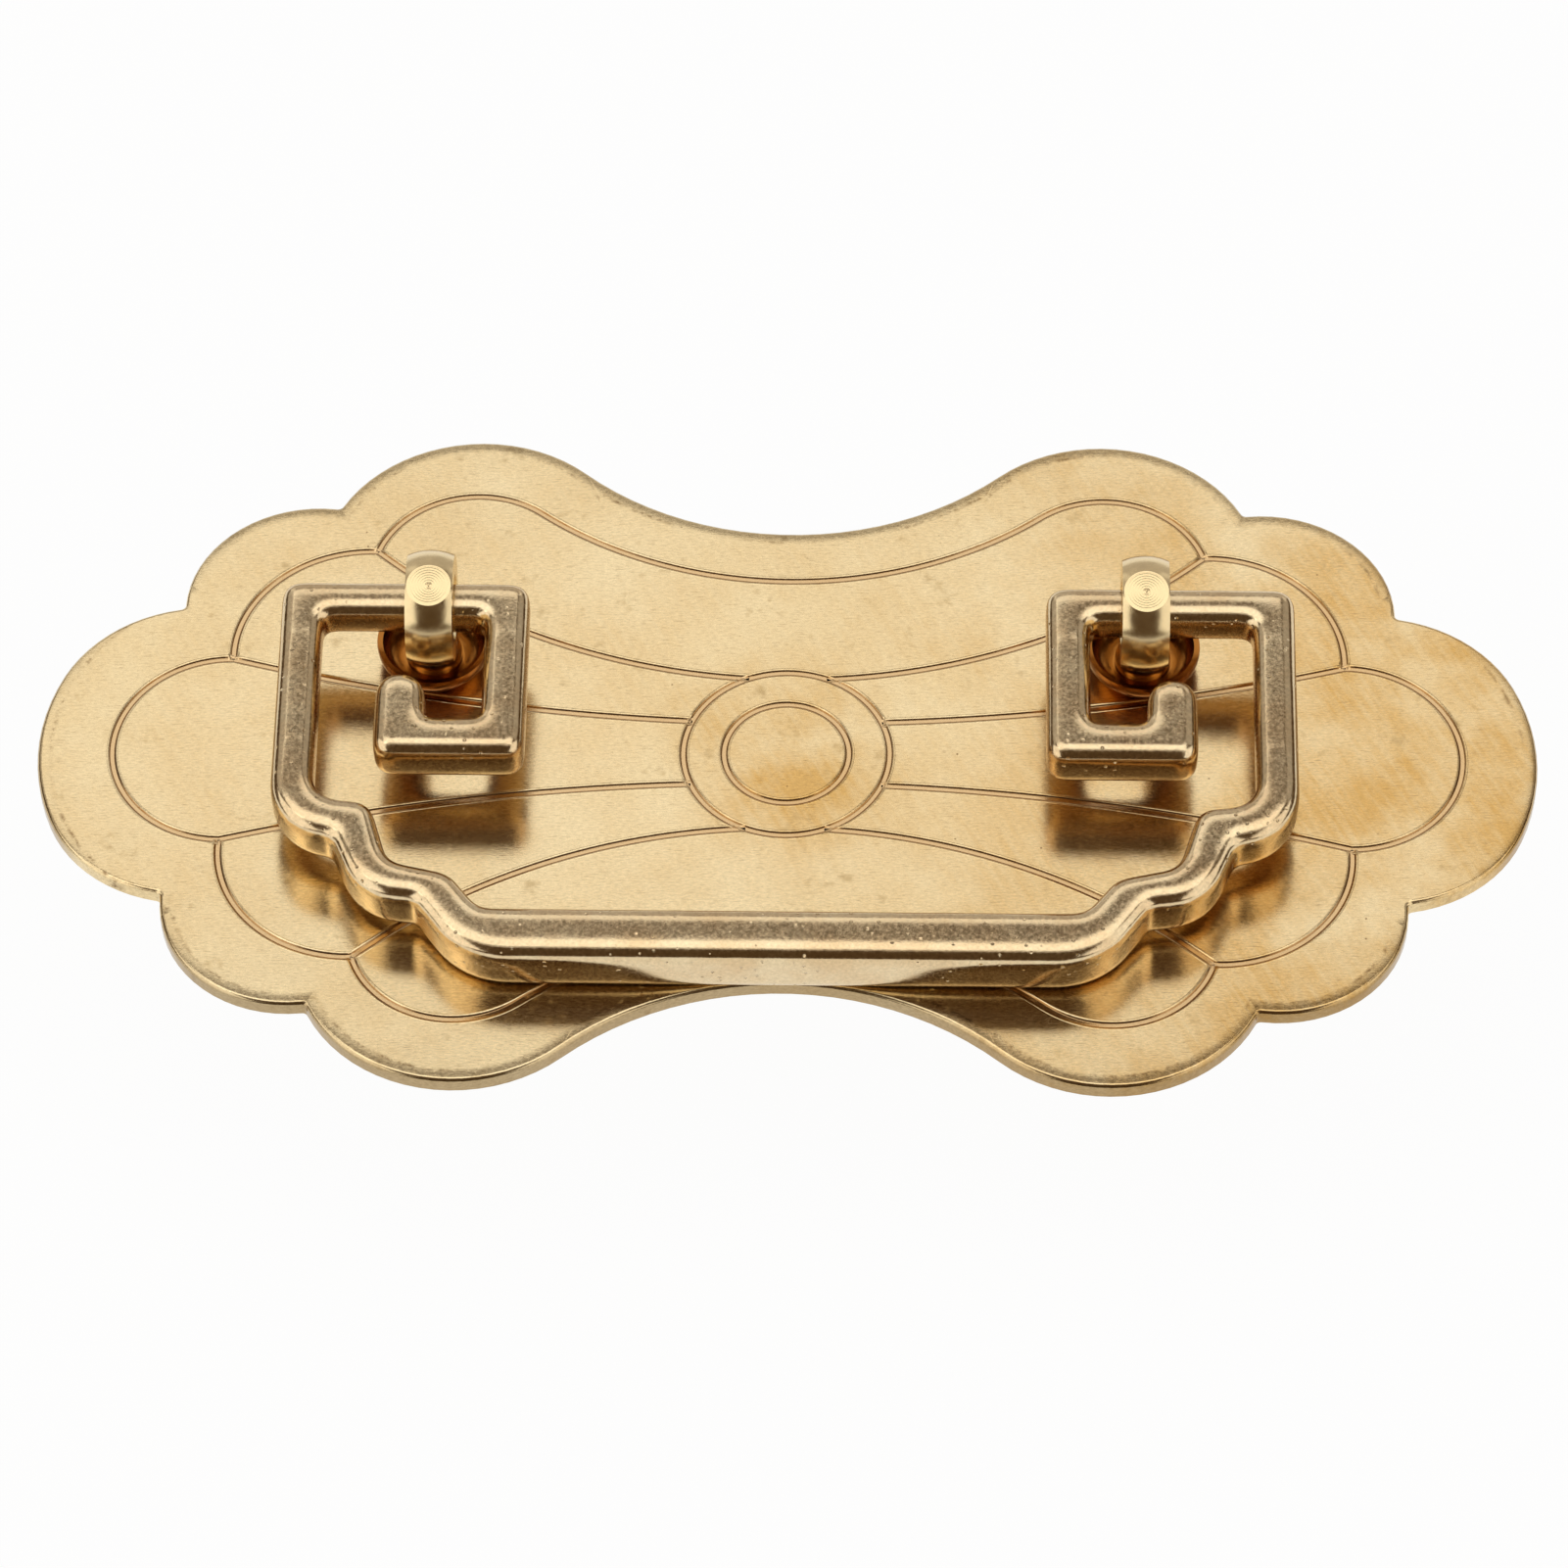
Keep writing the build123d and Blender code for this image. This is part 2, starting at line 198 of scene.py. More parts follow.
plateFinish = {
    "cream": "#F3DFB2",           # clean satin brass
    "yellow": "#D9B06C",          # old lacquer and polish left in clouds
    "tarnish": "#6E4C22",         # dark oxide
    "smudge": "#A98D5C",
    "grooveOxide": "#9A6628",     # brown left on the stamped lines' walls
    "grooveBed": "#D8B585",       # and the pinker brass of their floors
    "bedShare": 0.8,
    "wallWear": {"noise": (1.6, 4.0, 0.6), "span": (0.3, 0.7), "levels": (0.7, 1.0)},
    "cloud": {"noise": (15.0, 6.0, 0.6), "span": (0.34, 0.62), "levels": (0.15, 1.05)},
    "swipe": {
        "stretch": (6.0, 0.6, 62.0),
        "noise": (1.0, 4.0, 0.6), "span": (0.3, 0.7), "levels": (0.65, 1.0)},
    "stainRing": (4.0, 13.0),     # stains thin out between these distances from the middle
    "ringLevels": (1.3, 0.4),
    "stainEnd": (0.0, 66.0),      # and grow again towards the right end between these X
    "endLevels": (0.36, 1.3),
    "blot": {"noise": (2.6, 3.0, 0.6), "span": (0.63, 0.76), "levels": (0.0, 0.5)},
    # rolling marks; drawn a little coarser than real so that they show
    "dash": {
        "stretch": (1.5, 0.1, 0.0),
        "noise": (1.0, 2.0, 0.55), "span": (0.6, 0.72), "levels": (0.0, 0.4)},
    "grainStretch": (0.5, 0.2, 0.0),
    "grain": (1.0, 4.0, 0.7),
    "grainSpan": (0.3, 0.7),
    "grainShade": (0.74, 1.12),
    "grainDepth": 0.012,
    "grainStrength": 0.5,
    "pitCell": 1.5,
    "pitRadius": 0.13,
    "pitShare": 0.3,
    "pitCluster": {"noise": (9.0, 2.0, 0.6), "span": (0.5, 0.62), "levels": (0.15, 1.0)},
    "rimLine": 1.15,              # oxide gathers in a broken line this far in from the rim
    "rimLineWidth": 0.3,
    "fleck": {"noise": (0.9, 5.0, 0.75), "span": (0.45, 0.62), "levels": (0.0, 0.85)},
    "reach": {"noise": (13.0, 2.0, 0.5), "span": (0.42, 0.58), "levels": (0.1, 1.0)},
    "edgeWidth": 0.35,            # and on the rim itself
    "edgeShare": 0.55,
    "rollWidth": 1.3,             # the rim rolls down over this width
    "rollDrop": 0.1,
    "wave": (7.0, 2.0, 0.4),      # the sheet isn't quite flat
    "waveDepth": 0.05,
    "roughSpan": (0.28, 0.72),
    "roughness": (0.14, 0.23),
}


def rimDistance(tree, where):
    # distance in from the plate's rim in mm: the largest of the lobes' discs, a block that fills the
    # middle, and the room inside the waist
    quarter = vectors(tree, "ABSOLUTE", flatMm(tree, where))[0]
    x, y = axes(tree, quarter)[:2]
    lobes, hollow = outlineCircles()
    diagonal, upper = lobes[2:]

    def away(circle):
        return vectors(tree, "DISTANCE", quarter, (circle[0], circle[1], 0))["Value"]

    sideRoom = maths(tree, "SUBTRACT", diagonal[0], x)
    topRoom = maths(tree, "SUBTRACT", upper[1], y)
    inside = maths(tree, "MINIMUM", sideRoom, topRoom)
    for lobe in lobes:
        inside = maths(tree, "MAXIMUM", inside, maths(tree, "SUBTRACT", lobe[2], away(lobe)))
    waistEnd = upper[0] * hollow[2] / (hollow[2] + upper[2])
    waistRoom = maths(tree, "SUBTRACT", waistEnd, x)
    hollowRoom = maths(tree, "SUBTRACT", away(hollow), hollow[2])
    return maths(tree, "MAXIMUM", inside, maths(tree, "MINIMUM", waistRoom, hollowRoom))


def makePlateBrass():
    # rolled sheet brass, stamped: satin, with short rolling marks along X, warm clouds, dark pits,
    # oxide in a broken line inside the rim, and brown walls on the stamped lines
    finish = plateFinish
    material, tree = newMaterial("brassRolledSatin")
    where = addNode(tree, "ShaderNodeTexCoord").outputs["Object"]
    rim = rimDistance(tree, where)

    toLine = maths(tree, "ABSOLUTE", maths(tree, "SUBTRACT", rim, finish["rimLine"]))
    onLine = ramp(tree, toLine, 0.0, finish["rimLineWidth"], 1.0, 0.0)
    flecked = maths(tree, "MULTIPLY", onLine, patches(tree, where, finish["fleck"]))
    rimTarnish = maths(tree, "MULTIPLY", flecked, patches(tree, where, finish["reach"]))
    edge = ramp(tree, rim, 0.0, finish["edgeWidth"], finish["edgeShare"], 0.0)

    cloud, swipe = patches(tree, where, finish["cloud"]), patches(tree, where, finish["swipe"])
    flat = flatMm(tree, where)
    middle = vectors(tree, "LENGTH", flat)["Value"]
    ringed = ramp(tree, middle, *finish["stainRing"], *finish["ringLevels"])
    rightward = ramp(tree, axes(tree, flat)[0], *finish["stainEnd"], *finish["endLevels"])
    gather = maths(tree, "MAXIMUM", ringed, rightward)
    stained = maths(tree, "MULTIPLY", maths(tree, "MULTIPLY", cloud, swipe), gather)

    dash, blot = patches(tree, where, finish["dash"]), patches(tree, where, finish["blot"])
    grain = noise(tree, stretched(tree, where, *finish["grainStretch"]), *finish["grain"])
    spots = dots(tree, where, finish["pitCell"], finish["pitRadius"], finish["pitShare"])
    pits = maths(tree, "MULTIPLY", spots, patches(tree, where, finish["pitCluster"]))
    atRim = maths(tree, "MAXIMUM", rimTarnish, edge)
    dark = maths(tree, "MAXIMUM", atRim, maths(tree, "MAXIMUM", dash, pits))
    walls = maths(tree, "MULTIPLY", marked(tree, "wall"), patches(tree, where, finish["wallWear"]))
    beds = maths(tree, "MULTIPLY", marked(tree, "bed"), finish["bedShare"])

    colour = tint(tree, stained, linearColour(finish["cream"]), finish["yellow"])
    shade = ramp(tree, grain, *finish["grainSpan"], *finish["grainShade"])
    colour = vectors(tree, "MULTIPLY", colour, shade)[0]
    colour = tint(tree, blot, colour, finish["smudge"])
    colour = tint(tree, dark, colour, finish["tarnish"])
    colour = tint(tree, beds, colour, finish["grooveBed"])
    colour = tint(tree, walls, colour, finish["grooveOxide"])
    rough = ramp(tree, grain, *finish["roughSpan"], *finish["roughness"])

    roll = maths(tree, "POWER", ramp(tree, rim, 0.0, finish["rollWidth"], 1.0, 0.0), 2.0)
    rolled = bumped(tree, roll, finish["rollDrop"], invert=True)
    waved = bumped(tree, noise(tree, where, *finish["wave"]), finish["waveDepth"], rolled)
    grained = bumped(tree, grain, finish["grainDepth"], waved, finish["grainStrength"])
    brassOutput(tree, colour, rough, grained)
    return material


castFinish = {
    "body": "#E0C498",
    "worn": "#E9D3AA",
    "rough": "#C4965A",           # inner flanks that the tumbling stones missed
    "wear": {"noise": (4.0, 4.0, 0.6), "span": (0.35, 0.65), "levels": (0.0, 1.0)},
    "grain": (0.32, 3.0, 0.65),
    "grainSpan": (0.3, 0.7),
    "grainShade": (0.82, 1.06),
    "grainDepth": 0.007,
    "nickCell": 0.9,
    "nickRadius": 0.17,
    "nickShare": 0.8,
    "nickDepth": 0.2,
    "nickCluster": {"noise": (6.0, 2.0, 0.6), "span": (0.44, 0.6), "levels": (0.0, 1.0)},
    "crumb": (0.45, 4.0, 0.65),
    "crumbSpan": (0.35, 0.65),
    "crumbShare": (0.3, 0.8),
    "crumbDepth": 0.03,
    "crumbRoughness": 0.14,       # added on the rough flanks
    "roughness": (0.12, 0.23),
}


def makeCastBrass():
    # cast brass, tumbled: soft polish over a close grain, with small nicks that catch the light
    finish = castFinish
    material, tree = newMaterial("brassCastTumbled")
    where = addNode(tree, "ShaderNodeTexCoord").outputs["Object"]
    grain = noise(tree, where, *finish["grain"])
    worn = patches(tree, where, finish["wear"])
    spots = dots(tree, where, finish["nickCell"], finish["nickRadius"], finish["nickShare"])
    nicks = maths(tree, "MULTIPLY", spots, patches(tree, where, finish["nickCluster"]))
    flank = marked(tree, "flank")
    crumbs = noise(tree, where, *finish["crumb"])
    crumbled = ramp(tree, crumbs, *finish["crumbSpan"], *finish["crumbShare"])
    asCast = maths(tree, "MULTIPLY", flank, crumbled)

    colour = tint(tree, worn, linearColour(finish["body"]), finish["worn"])
    shade = ramp(tree, grain, *finish["grainSpan"], *finish["grainShade"])
    colour = vectors(tree, "MULTIPLY", colour, shade)[0]
    colour = tint(tree, asCast, colour, finish["rough"])
    rough = ramp(tree, grain, *finish["grainSpan"], *finish["roughness"])
    added = maths(tree, "MULTIPLY", asCast, finish["crumbRoughness"])

    fine = bumped(tree, grain, finish["grainDepth"])
    nicked = bumped(tree, nicks, finish["nickDepth"], fine, invert=True)
    coarse = bumped(tree, maths(tree, "MULTIPLY", crumbs, flank), finish["crumbDepth"], nicked)
    brassOutput(tree, colour, maths(tree, "ADD", rough, added), coarse)
    return material


turnedFinish = {
    "haze": (1.2, 4.0, 0.65),
    "hazeSpan": (0.3, 0.7),
    "hazeShade": (0.9, 1.04),
    "hazeDepth": 0.015,
    "hazeStrength": 0.5,
    "roughLess": 0.03, "roughMore": 0.06,     # about the piece's own roughness
}


def makeTurnedBrass(name, code, roughness):
    # turned or pressed brass with a buffed polish: clear reflections under a faint haze
    finish = turnedFinish
    material, tree = newMaterial(name)
    where = addNode(tree, "ShaderNodeTexCoord").outputs["Object"]
    haze = noise(tree, where, *finish["haze"])
    smoothest, roughest = roughness - finish["roughLess"], roughness + finish["roughMore"]
    rough = ramp(tree, haze, *finish["hazeSpan"], smoothest, roughest)
    shade = ramp(tree, haze, *finish["hazeSpan"], *finish["hazeShade"])
    tone = vectors(tree, "MULTIPLY", linearColour(code)[:3], shade)[0]
    fine = bumped(tree, haze, finish["hazeDepth"], strength=finish["hazeStrength"])
    brassOutput(tree, tone, rough, fine)
    return material


finishes = {
    "back_plate": makePlateBrass(),
    "bail": makeCastBrass(),
    "eye_post": makeTurnedBrass("brassTurnedPolished", "#EBD3A2", 0.2),
    # the pressed cup is given a darker brass than the post: painted shade for the dark inside of the
    # polished cup
    "cup_washer": makeTurnedBrass("brassPressedTarnished", "#A66C30", 0.16),
    "flat_washer": makeTurnedBrass("brassStamped", "#DDBF80", 0.28),
    "hex_nut": makeTurnedBrass("brassMachined", "#DDBF80", 0.24),
}


smoothing = {
    "postAngle": 17,        # degrees; faces that meet at more than this keep a crease
    "angle": 32,
    "stripAngle": 60,
    "level": 0.99999,       # a face whose normal rises to this counts as level
    "weld": 1e-6,           # metres between corners that are merged
}


def geometryTree(name):
    tree = bpy.data.node_groups.new(name, "GeometryNodeTree")
    tree.interface.new_socket("Geometry", in_out="INPUT", socket_type="NodeSocketGeometry")
    tree.interface.new_socket("Geometry", in_out="OUTPUT", socket_type="NodeSocketGeometry")
    return tree, addNode(tree, "NodeGroupInput").outputs[0]


def welded(tree, geometry):
    return addNode(tree, "GeometryNodeMergeByDistance", {
        "Geometry": geometry, "Distance": smoothing["weld"]}).outputs[0]


def makeSmoothing(name, angle, weld=True):
    # merges the loose triangles, then shades smooth wherever faces meet at less than the angle;
    # level faces stay flat so that the plate's face shows no fans
    tree, start = geometryTree(name)
    if weld:
        start = welded(tree, start)
    normal = addNode(tree, "GeometryNodeInputNormal").outputs[0]
    rise = maths(tree, "ABSOLUTE", axes(tree, normal)[2])
    curved = addNode(tree, "FunctionNodeCompare", {
        0: rise, 1: smoothing["level"]}, data_type="FLOAT", operation="LESS_THAN")
    smooth = addNode(tree, "GeometryNodeSetShadeSmooth", {
        "Geometry": start, "Shade Smooth": curved.outputs[0]}, domain="FACE")
    edge = addNode(tree, "GeometryNodeInputMeshEdgeAngle")
    sharp = addNode(tree, "FunctionNodeCompare", {
        0: edge.outputs[0], 1: math.radians(angle)}, data_type="FLOAT", operation="GREATER_THAN")
    creased = addNode(tree, "GeometryNodeSetShadeSmooth", {
        "Geometry": smooth.outputs[0], "Selection": sharp.outputs[0],
        "Shade Smooth": False}, domain="EDGE")
    addNode(tree, "NodeGroupOutput", {0: creased.outputs[0]})
    return tree


casting = {
    "voxel": 0.28,           # mm, finer than the roundings
    "softening": 30,         # smoothing passes that tumbling stands for
    "softStep": 0.5,         # how far each pass goes
    "swellNoise": (3.6, 2.0, 0.5),
    "swellSpan": (0.2, 0.8),
    "swell": 0.016,
    "restTilt": 6.64,        # degrees the bail lies tilted at rest; the skin is worked out level
    "middle": (0.0, -8.0),   # middle of the bail's opening
    "steep": (0.3, 0.55),    # the skin counts as a flank where its normal rises less than this
    "inward": (0.15, 0.5),   # and points at the middle more than this
}


def tilted(tree, geometry, angle):
    return addNode(tree, "GeometryNodeTransform", {
        "Geometry": geometry, "Rotation": (math.radians(angle), 0.0, 0.0)}).outputs[0]


def makeLevel():
    # merges the bail's loose triangles and turns it level, so that its skin's cells lie along its faces
    tree, start = geometryTree("bailLevel")
    addNode(tree, "NodeGroupOutput", {0: tilted(tree, welded(tree, start), -casting["restTilt"])})
    return tree


def makeCastSkin():
    # turns the skin back, moves it along its normal by low noise and shades it smooth; "flank" marks
    # the steep skin that faces the middle of the bail's opening
    tree, start = geometryTree("castSkin")
    start = tilted(tree, start, casting["restTilt"])
    place = addNode(tree, "GeometryNodeInputPosition").outputs[0]
    normal = addNode(tree, "GeometryNodeInputNormal").outputs[0]
    low = noise(tree, place, *casting["swellNoise"])
    swell = ramp(tree, low, *casting["swellSpan"], -casting["swell"] * mm, 0.0)
    shift = addNode(tree, "ShaderNodeVectorMath", {0: normal, 3: swell}, operation="SCALE")
    moved = addNode(tree, "GeometryNodeSetPosition", {
        "Geometry": start, "Offset": shift.outputs[0]})
    smooth = addNode(tree, "GeometryNodeSetShadeSmooth", {
        "Geometry": moved.outputs[0]}, domain="FACE")
    level = vectors(tree, "MULTIPLY", place, (1, 1, 0))[0]
    middle = tuple(v * mm for v in casting["middle"]) + (0.0,)
    inward = vectors(tree, "NORMALIZE", vectors(tree, "SUBTRACT", middle, level)[0])[0]
    facing = vectors(tree, "DOT_PRODUCT", inward, normal)["Value"]
    rise = maths(tree, "ABSOLUTE", axes(tree, normal)[2])
    steep = ramp(tree, rise, *casting["steep"], 1.0, 0.0)
    flank = maths(tree, "MULTIPLY", steep, ramp(tree, facing, *casting["inward"], 0.0, 1.0))
    kept = addNode(tree, "GeometryNodeStoreNamedAttribute", {
        "Geometry": smooth.outputs[0], "Name": "flank", "Value": flank}, domain="POINT")
    addNode(tree, "NodeGroupOutput", {0: kept.outputs[0]})
    return tree


crisp = makeSmoothing("crispSmoothing", smoothing["postAngle"])
soft = makeSmoothing("softSmoothing", smoothing["angle"])
for name, node in nodes.items():
    kind = name.replace("_left", "").replace("_right", "")
    node.data.materials.clear()
    node.data.materials.append(finishes[kind])
    shading = makeLevel() if kind == "bail" else crisp if kind == "eye_post" else soft
    node.modifiers.new("smooth", "NODES").node_group = shading
    if kind == "bail":
        skin = node.modifiers.new("skin", "REMESH")
        skin.mode = "VOXEL"
        skin.voxel_size = casting["voxel"] * mm
        tumbled = node.modifiers.new("tumbled", "SMOOTH")
        tumbled.factor = casting["softStep"]
        tumbled.iterations = casting["softening"]
        node.modifiers.new("swell", "NODES").node_group = makeCastSkin()
print("finishes set on the CAD nodes")


# added pieces are worked out in mm and put into meshes in metres
def putMesh(name, points, faces, material, body):
    mesh = bpy.data.meshes.new(name)
    mesh.from_pydata((points * mm).tolist(), [], faces)
    mesh.polygons.foreach_set("use_smooth", np.ones(len(mesh.polygons), bool))
    mesh.materials.append(material)
    mesh.update()
    piece = bpy.data.objects.new(name, mesh)
    bpy.context.scene.collection.objects.link(piece)
    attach(piece, body)
    return piece


def gridFaces(rows, columns, wrap=False, wrapRows=False):
    # quads of a rows by columns grid of points, rows first; wrap joins the last column to the first,
    # and wrapRows the last row to the first
    down = np.arange(rows if wrapRows else rows - 1)
    along = np.arange(columns if wrap else columns - 1)
    i, j = np.meshgrid(down, along, indexing="ij")
    k, n = (j + 1) % columns, (i + 1) % rows
    corners = [i * columns + j, i * columns + k, n * columns + k, n * columns + j]
    return np.stack(corners, -1).reshape(-1, 4)


def fullTurn(count):
    return np.linspace(0, 2 * np.pi, count, endpoint=False)


def climb(value, start, end):
    # 0 at the start to 1 at the end, held level beyond them
    return np.clip((value - start) / (end - start), 0, 1)


# the stamped lines in their first quarter, repeated from the part's source, and their section
tracery = {
    "end": (50.2, 0.0, 10.3),         # lobes' X, Y and radius
    "diagonal": (38.25, 11.1, 12.05),
    "upper": (28.75, 20.4, 9.45),
    "waist": 40.0, "spoke": 3.4, "rib": 8.45,
    "rings": (9.25, 5.6),
    "floor": 0.2,       # half the groove's level floor
    "top": 0.475,       # half its width at the plate's face
    "depth": 0.14,
    "reach": 0.515,     # half the strip, its edge tucked under the face
    "level": 0.48,      # the strip lies level with the face out to here
    "tuck": 0.02,
    "step": 0.45,       # along the groove
    "fewestRows": 8,
    "across": 25,
    "overlap": 0.1,     # a strip ends where another line is nearer by this much
    "backing": 0.02,    # thickness of the strips
    "oxide": (0.29, 0.33),      # oxide on the walls fades out between these distances from the middle
    "bed": (0.17, 0.21),        # and the floor's colour between these
}


def crossing(first, second):
    # the crossing of two circles with the larger X and Y
    ax, ay, ar = first
    bx, by, br = second
    gap = math.hypot(bx - ax, by - ay)
    foot = (ar ** 2 - br ** 2 + gap ** 2) / (2 * gap)
    rise = math.sqrt(ar ** 2 - foot ** 2)
    ux, uy = (bx - ax) / gap, (by - ay) / gap
    ends = [(ax + foot * ux - k * rise * uy, ay + foot * uy + k * rise * ux) for k in (1, -1)]
    return max(ends, key=sum)


def traceryRuns():
    # every groove as centre x, y, radius, start and end angle, all four quarters
    end, diagonal, upper = tracery["end"], tracery["diagonal"], tracery["upper"]
    endJoint, upperJoint = crossing(end, diagonal), crossing(diagonal, upper)
    hollow = waistCircle(upper[:2], upper[2], tracery["waist"])
    lean = math.atan2(hollow[1] - upper[1], hollow[0] - upper[0])
    lobeEnd = (upper[0] + upper[2] * math.cos(lean), upper[1] + upper[2] * math.sin(lean))
    ring = (0.0, 0.0, tracery["rings"][0])

    def bow(joint, offset):
        # arc through the joint that is level where it crosses the Y axis
        rise = joint[1] - offset
        radius = (joint[0] ** 2 + rise ** 2) / (2 * rise)
        return 0.0, offset + radius, radius

    spoke, rib = bow(endJoint, tracery["spoke"]), bow(upperJoint, tracery["rib"])
    pairs = [
        (end, (end[0] + end[2], 0.0), endJoint),
        (diagonal, endJoint, upperJoint),
        (upper, upperJoint, lobeEnd),
        (hollow, (0.0, hollow[1] - hollow[2]), lobeEnd),
        (spoke, crossing(ring, spoke), endJoint),
        (rib, crossing(ring, rib), upperJoint),
    ]
    runs = []
    for sideX in (1, -1):
        for sideY in (1, -1):
            for circle, first, last in pairs:
                cx, cy = sideX * circle[0], sideY * circle[1]
                angles = [math.atan2(sideY * y - cy, sideX * x - cx) for x, y in (first, last)]
                turn = (angles[1] - angles[0] + math.pi) % (2 * math.pi) - math.pi
                start = angles[0] if turn > 0 else angles[0] + turn
                runs.append((cx, cy, circle[2], start, start + abs(turn)))
    return runs + [(0.0, 0.0, r, 0.0, 2 * math.pi) for r in tracery["rings"]]


def distanceToRuns(x, y, runs):
    # distance from each point to each groove's middle line, with its ends taken as points
    cx, cy, radius, start, end = (np.array(v)[:, None] for v in zip(*runs))
    angle = np.arctan2(y - cy, x - cx)
    inArc = np.mod(angle - start, 2 * np.pi) <= end - start
    toArc = np.abs(np.hypot(x - cx, y - cy) - radius)
    toEnds = np.minimum(
        np.hypot(x - cx - radius * np.cos(start), y - cy - radius * np.sin(start)),
        np.hypot(x - cx - radius * np.cos(end), y - cy - radius * np.sin(end)))
    return np.where(inArc, toArc, toEnds)


def makeTracery(material):
    # strips along every groove; height is a function of the distance to the nearest middle line:
    # a level floor, then walls that fall from the plate's face with the square of the distance, and
    # the strip's edge tucked under it
    shape = tracery
    runs = traceryRuns()
    points, faces, walls, beds, count = [], [], [], [], 0
    (bedEdge, bedEnd), (oxideEdge, oxideEnd) = shape["bed"], shape["oxide"]
    side = np.linspace(-shape["reach"], shape["reach"], shape["across"])
    for index, (cx, cy, radius, start, end) in enumerate(runs):
        rows = max(shape["fewestRows"], int(radius * (end - start) / shape["step"]))
        angle = np.linspace(start, end, rows)
        spread = radius + side[None, :]
        x = (cx + spread * np.cos(angle[:, None])).ravel()
        y = (cy + spread * np.sin(angle[:, None])).ravel()
        away = distanceToRuns(x, y, runs)
        near = away.min(0)
        fall = climb(near, shape["top"], shape["floor"]) ** 2
        tuck = climb(near, shape["level"], shape["reach"])
        z = plate["top"] - shape["depth"] * fall - shape["tuck"] * tuck
        strip = gridFaces(rows, shape["across"])
        ownGround = (away[index] - near)[strip].min(1) < shape["overlap"]
        bed = climb(near, bedEnd, bedEdge)
        points.append(np.stack([x, y, z], -1))
        walls.append(climb(near, oxideEnd, oxideEdge) * (1 - bed))
        beds.append(bed)
        faces.append(strip[ownGround][:, ::-1] + count)
        count += len(x)
    points, faces = np.concatenate(points), np.concatenate(faces).tolist()
    piece = putMesh("stamped_tracery", points, faces, material, "mount")
    for name, values in (("wall", walls), ("bed", beds)):
        kept = piece.data.attributes.new(name, "FLOAT", "POINT")
        kept.data.foreach_set("value", np.concatenate(values))
    backing = piece.modifiers.new("backing", "SOLIDIFY")
    backing.thickness = shape["backing"] * mm
    backing.offset = -1
    shading = makeSmoothing("stripSmoothing", smoothing["stripAngle"], weld=False)
    piece.modifiers.new("smooth", "NODES").node_group = shading
    print("tracery strips:", len(runs), "grooves,", count, "points")


def postPlace(side):
    low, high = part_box("eye_post_" + side)
    return (low.x + high.x) / 2 / mm, (low.y + high.y) / 2 / mm, low.z / mm


thread = {
    "panel": -20.0,       # back of the drawer front
    "core": 2.0,          # radius inside the drawer front
    "tailCore": 1.77,     # and behind it
    "pitch": 0.7,
    "rise": 0.16,
    "sunk": 0.03,
    "tailGap": 0.4,       # plain stud left at its lower end
    "headGap": 0.15,      # and under the plate
    "around": 28,
    "perPitch": 6,
}


def makeThread(side, material):
    # M4 thread: radius is a triangle wave of height less turns, on a grid of height and angle
    shape = thread
    cx, cy, foot = postPlace(side)
    bottom, top = foot + shape["tailGap"], -shape["headGap"]
    rows = int((top - bottom) / shape["pitch"] * shape["perPitch"])
    z = np.linspace(bottom, top, rows)[:, None]
    turn = fullTurn(shape["around"])[None, :]
    phase = np.mod(z / shape["pitch"] - turn / (2 * np.pi), 1)
    core = np.where(z > shape["panel"], shape["core"], shape["tailCore"]) - shape["sunk"]
    fade = np.clip(np.minimum(z - bottom, top - z) / shape["pitch"], 0, 1)
    radius = core + fade * shape["rise"] * (1 - np.abs(2 * phase - 1))
    x, y = cx + radius * np.cos(turn), cy + radius * np.sin(turn)
    points = np.stack([x, y, z + 0 * turn], -1).reshape(-1, 3)
    faces = gridFaces(rows, shape["around"], wrap=True).tolist()
    last = len(points) - shape["around"]
    faces += [list(range(shape["around"]))[::-1], list(range(last, len(points)))]
    putMesh("stud_thread_" + side, points, faces, material, "mount")


facet = {
    "eyeHeight": 7.3,     # centre of the turned ball over the plate
    "ball": 5.2,
    "radius": 2.0,
    "tilt": 15.0,
    "inset": 0.05,        # the disc stops this far inside the flat
    "lift": 0.008,
    "ring": 0.24,         # tool rings' spacing and height
    "ringRise": 0.007,
    "pip": 0.07,
    "pipWidth": 0.2,
    "rimWidth": 0.1,      # the disc's edge sinks into the flat
    "rimDrop": 0.03,
    "rows": 44,
    "around": 48,
}


